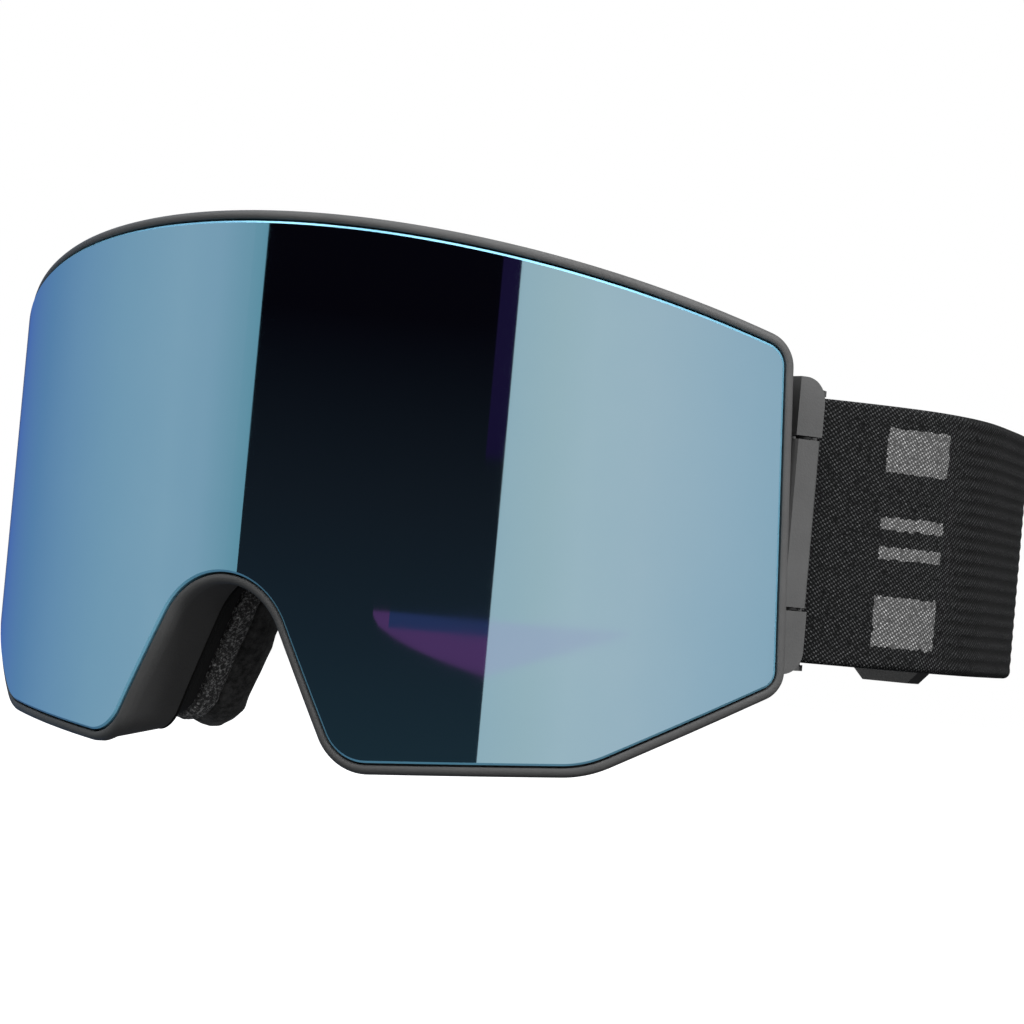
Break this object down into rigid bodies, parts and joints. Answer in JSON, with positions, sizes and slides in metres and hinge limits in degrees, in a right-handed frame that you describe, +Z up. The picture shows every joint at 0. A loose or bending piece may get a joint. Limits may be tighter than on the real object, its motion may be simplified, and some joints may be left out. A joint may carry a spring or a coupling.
{
  "type": "ski goggles",
  "caption": "Cylindrical mirrored ski goggles with a thin lipped frame, magnetic lens, foam-lined face side, hinged outriggers and a woven head strap with sliders.",
  "frame": {"origin": "middle plane, at the frame's mid-height, where the face foam meets the brow", "axes": "+Y from the lens towards the head, +X to the wearer's left, +Z up"},
  "size_m": [0.1926, 0.1816, 0.0926],
  "materials": {
    "mirror_lens": "mirror-coated polycarbonate",
    "clear_lens": "clear anti-fog film",
    "frame_plastic": "satin dark grey",
    "soft_plastic": "matt black",
    "grey_foam": "speckled open-cell foam",
    "black_foam": "fleece-faced foam",
    "strap_weave": "woven elastic webbing",
    "steel": "nickel-plated"
  },
  "bodies": {
    "frame": {"front_frame": "frame_plastic", "face_frame": "soft_plastic", "foam_base": "grey_foam", "foam_face": "black_foam", "top_vent_foam_left": "black_foam", "bottom_vent_foam_left": "black_foam", "top_vent_foam_right": "black_foam", "bottom_vent_foam_right": "black_foam", "magnet_upper_outer_left": "steel", "magnet_upper_outer_right": "steel", "magnet_upper_inner_left": "steel", "magnet_upper_inner_right": "steel", "magnet_lower_left": "steel", "magnet_lower_right": "steel", "side_bracket_left": "frame_plastic", "hinge_pin_left": "steel", "strap_left": "strap_weave", "side_bracket_right": "frame_plastic", "hinge_pin_right": "steel", "strap_right": "strap_weave", "strap_join_patch": "strap_weave"},
    "lens": {"outer_lens": "mirror_lens", "lens_gasket": "black_foam", "inner_lens": "clear_lens", "keeper_upper_outer_left": "steel", "keeper_upper_outer_right": "steel", "keeper_upper_inner_left": "steel", "keeper_upper_inner_right": "steel", "keeper_lower_left": "steel", "keeper_lower_right": "steel"},
    "outrigger_left": {"outrigger_left": "frame_plastic", "strap_end_left": "strap_weave"},
    "strap_slider_left": {"strap_slider_left": "soft_plastic"},
    "outrigger_right": {"outrigger_right": "frame_plastic", "strap_end_right": "strap_weave"},
    "strap_slider_right": {"strap_slider_right": "soft_plastic"}
  },
  "joints": [
    {"name": "lens_release", "type": "slide", "parent": "frame", "child": "lens", "axis": [0, -1, 0], "range_m": [0, 0.06]},
    {"name": "outrigger_left_hinge", "type": "hinge", "parent": "frame", "child": "outrigger_left", "pos_m": [0.0823, 0.0054, 0], "axis": [0, 0, 1], "range_deg": [-13, 4]},
    {"name": "outrigger_right_hinge", "type": "hinge", "parent": "frame", "child": "outrigger_right", "pos_m": [-0.0823, 0.0054, 0], "axis": [0, 0, 1], "range_deg": [-4, 13]},
    {"name": "strap_slider_left_slide", "type": "slide", "parent": "frame", "child": "strap_slider_left", "axis": [1, 0, 0], "range_m": [-0.01, 0.003]},
    {"name": "strap_slider_right_slide", "type": "slide", "parent": "frame", "child": "strap_slider_right", "axis": [1, 0, 0], "range_m": [-0.003, 0.01]}
  ]
}
